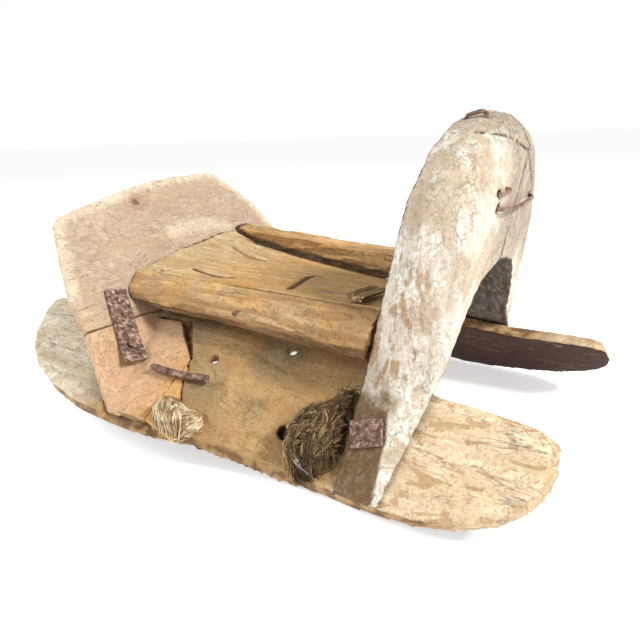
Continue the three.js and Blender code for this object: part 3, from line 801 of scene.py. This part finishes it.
def combed(count, guides, reach, radii, colors, lifts):
    """Strands that follow the guides side by side, each a little astray, and more so further on."""
    strands = []
    for k in range(count):
        guide = guides[k % len(guides)]
        sway_x, sway_y = random.uniform(-reach, reach), random.uniform(-reach, reach)
        points = []
        for at, point in enumerate(guide):
            x, y, rise = jitter(point, 0.5 * reach * (0.3 + 0.3 * at))
            loose = min(1, 0.4 + 0.4 * at)
            points.append((x + sway_x * loose, y + sway_y * loose, rise))
        strands.append((points, random.uniform(*radii), random.choice(colors), random.uniform(*lifts)))
    return strands


def tuft(rows):
    """All the strands of one knot."""
    return [strand for row in rows for strand in combed(*row)]


# Guides lead the strands: each is a run of x and y on the board's face, and of millimetres above what
# lies there.
REAR_GUIDES = [
    [(0, 168, -3), (2, 173, 0), (4, 180, 0), (9, 187, 0), (12, 190, -1)],
    [(1, 168, -3), (6, 172, 0), (10, 178, 0), (15, 185, 0), (19, 188, -1)],
    [(0, 170, -3), (-2, 176, 0), (1, 184, 0), (6, 188, 0)],
    [(31, 165, -3), (30, 169, 0), (27, 174, 0), (22, 180, 0)],
    [(32, 165, -3), (36, 170, 0), (33, 176, 0), (28, 181, 0)],
    [(31, 166, -3), (24, 168, 0), (18, 172, 0), (14, 178, 0)],
    [(14, 172, 0), (20, 176, 1), (24, 182, 0), (20, 187, 0)],
    [(24, 168, 0), (18, 170, 1), (16, 177, 1), (22, 184, 0)],
]
POMMEL_GUIDES = [
    [(92, 134, -9), (98, 134, -4), (104, 134, -2), (108, 132, 0)],
    [(98, 134, -4), (106, 131, 0), (114, 128, 0), (124, 124, 0), (130, 112, 0)],
    [(104, 134, 0), (110, 124, 0), (118, 118, 0), (126, 110, 0), (132, 100, 0)],
    [(108, 140, 0), (116, 134, 0), (124, 128, 0), (132, 118, 0)],
    [(106, 142, 0), (112, 146, 0), (120, 150, 0), (128, 150, 0)],
    [(112, 120, 0), (110, 130, 0), (110, 140, 0), (116, 148, 0)],
    [(122, 112, 0), (126, 122, 0), (128, 134, 0), (128, 146, 0)],
    [(112, 112, 0), (120, 110, 0), (126, 104, 0), (132, 98, 0)],
]
BUNDLE_SIDE_GUIDES = [
    [(126, 114, 0), (134, 122, 0), (135, 132, 0), (130, 143, 0)],
    [(133, 106, 0), (138, 116, 0), (138, 128, 0), (133, 138, 0)],
    [(116, 122, 0), (126, 128, 0), (136, 132, 0)],
]
# The darkest strands, laid into the slot in the board as a dark filling that stands for its shade.
SLOT_SHADE_GUIDES = [
    [(85, 130, -8), (91, 137, -8), (98, 131, -9)],
    [(85, 136, -9), (92, 130, -8), (99, 136, -8)],
]
PALE_EDGE_GUIDES = [
    [(100, 132, 0), (104, 126, 0), (108, 120, 0), (112, 114, 0)],
    [(104, 138, 0), (102, 144, 0), (106, 150, 0), (112, 152, 0)],
    [(108, 118, 0), (116, 116, 0), (122, 118, 0)],
]
GREY_LUMP_GUIDES = [
    [(119, 146, 0), (122, 148, 0), (125, 149, 0)],
]

# Each row: how many strands, along which guides, how far astray, radii, colours, heights over the core.
REAR_TUFT = [
    (190, REAR_GUIDES, 3.0, (0.4, 0.8), PALE, (0.1, 1.6)),
    (26, REAR_GUIDES, 4.5, (0.18, 0.3), PALE, (1.0, 4.0)),
]
POMMEL_TUFT = [
    (330, POMMEL_GUIDES, 5.0, (0.4, 0.9), DARK, (0.1, 2.0)),
    (150, BUNDLE_SIDE_GUIDES, 5.0, (0.4, 0.9), DARK, (0.3, 1.8)),
    # darkest strands filling the slot, as painted shade
    (30, SLOT_SHADE_GUIDES, 2.2, (0.9, 1.4), DARK[2:3], (0.0, 0.6)),
    (46, POMMEL_GUIDES, 7.0, (0.18, 0.32), DARK[1:], (1.0, 4.5)),
    (60, PALE_EDGE_GUIDES, 3.2, (0.4, 0.8), PALE[1:3], (0.2, 1.6)),
    (7, GREY_LUMP_GUIDES, 4.0, (1.0, 1.6), (GREY_LUMP,), (0.2, 0.9)),
]

for word, side in SIDES:
    knot_piece(f"{word}_rear_lashing", side, "pale_rope", PALE_CORE_SHADE, tuft(REAR_TUFT))
    knot_piece(f"{word}_pommel_lashing", side, "dark_rope", DARK_CORE_SHADE, tuft(POMMEL_TUFT))


SEAT_STRANDS = 34
FIRST_STRAND_X = 116.0
STRAND_STEP = 0.43
SEAT_COLORS = PALE[1:3] + DARK[1:2]


def seat_strands():
    """Fine strands wound side by side over the near rail and the seat board."""
    mesh = bpy.data.meshes.new("seat_lashing_rope")
    bm = bmesh.new()
    layer = bm.verts.layers.float_color.new("tone")
    for k in range(SEAT_STRANDS):
        x = FIRST_STRAND_X + STRAND_STEP * k + BALANCE
        lift = random.uniform(-1.8, 1.8)
        lean = random.uniform(-1.4, 1.4)
        points = [
            Vector((x + lean, -80, 136 + lift)),
            Vector((x + 1, -62, 135.6 + lift)),
            Vector((x + 3 - lean, -41, 134.4 + 0.8 * lift)),
        ]
        color = (*random.choice(SEAT_COLORS), 0)
        add_strand(bm, layer, [point * MM for point in points], random.uniform(0.6, 0.95), color)
    bm.to_mesh(mesh)
    bm.free()
    new_piece("seat_lashing_rope", mesh, "pale_rope", "pale_rope", "seat_lashing")


seat_strands()


# ---- stage, light and camera -----------------------------------------------------------------

FLOOR_REACH = 60.0      # metres from the middle
FLOOR_GREY = 0.94
FLOOR_GLOW = 0.58       # the floor's own light, which keeps it as white as the backdrop


def make_floor():
    mesh = bpy.data.meshes.new("floor")
    reach = FLOOR_REACH
    corners = [(-reach, -reach, 0), (reach, -reach, 0), (reach, reach, 0), (-reach, reach, 0)]
    mesh.from_pydata(corners, [], [(0, 1, 2, 3)])
    floor = bpy.data.objects.new("floor", mesh)
    bpy.context.scene.collection.objects.link(floor)
    material = bpy.data.materials.new("floor")
    material.use_nodes = True
    shader = material.node_tree.nodes["Principled BSDF"]
    shader.inputs["Base Color"].default_value = (FLOOR_GREY, FLOOR_GREY, FLOOR_GREY, 1)
    shader.inputs["Roughness"].default_value = 0.9
    shader.inputs["Emission Color"].default_value = (*WHITE, 1)
    shader.inputs["Emission Strength"].default_value = FLOOR_GLOW
    mesh.materials.append(material)


CAMERA_PLACE = Vector((331.82, -423.46, 255.61)) * MM
CAMERA_RIGHT = Vector((0.8233, 0.5667, -0.0322))
CAMERA_UP = Vector((-0.1576, 0.2826, 0.9461))
CAMERA_AHEAD = Vector((-0.5453, 0.7739, -0.3220))
CAMERA_LENS = 30.35     # millimetres, on a sensor 36 mm wide


def make_camera():
    data = bpy.data.cameras.new("camera")
    data.sensor_width = 36.0
    data.lens = CAMERA_LENS
    data.clip_start = 0.01
    camera = bpy.data.objects.new("camera", data)
    bpy.context.scene.collection.objects.link(camera)
    turn = Matrix((CAMERA_RIGHT, CAMERA_UP, -CAMERA_AHEAD)).transposed()
    camera.matrix_world = Matrix.Translation(CAMERA_PLACE) @ turn.to_4x4()
    bpy.context.scene.camera = camera


def make_light(name, place, aim, size, power, color):
    """A soft square light, in metres and watts, turned towards a point."""
    data = bpy.data.lights.new(name, "AREA")
    data.size = size
    data.energy = power
    data.color = color
    light = bpy.data.objects.new(name, data)
    bpy.context.scene.collection.objects.link(light)
    place = Vector(place)
    light.location = place
    light.rotation_euler = (Vector(aim) - place).to_track_quat("-Z", "Y").to_euler()


SKY_ON_OBJECT = 0.41
SKY_TO_CAMERA = 1.0


def make_world():
    """A soft white sky, weaker on the object than to the camera."""
    world = bpy.data.worlds.new("world")
    world.use_nodes = True
    tree = world.node_tree
    background = tree.nodes["Background"]
    background.inputs["Color"].default_value = (*WHITE, 1)
    path = tree.nodes.new("ShaderNodeLightPath")
    strength = tree.nodes.new("ShaderNodeMapRange")
    strength.inputs["To Min"].default_value = SKY_ON_OBJECT
    strength.inputs["To Max"].default_value = SKY_TO_CAMERA
    tree.links.new(path.outputs["Is Camera Ray"], strength.inputs["Value"])
    tree.links.new(strength.outputs["Result"], background.inputs["Strength"])
    bpy.context.scene.world = world


make_floor()
make_camera()
make_world()
make_light("key", (1.5, -0.05, 1.3), (0, 0, 0.1), 0.4, 35, (1, 0.98, 0.95))
make_light("fill", (-1.5, -1.2, 1.3), (0, 0, 0.1), 1.2, 15, (0.97, 0.98, 1))
make_light("rear", (-1.0, -1.1, 1.4), (-0.2, -0.12, 0.05), 0.8, 8, (1, 0.99, 0.96))
bpy.context.scene.view_settings.view_transform = "Standard"
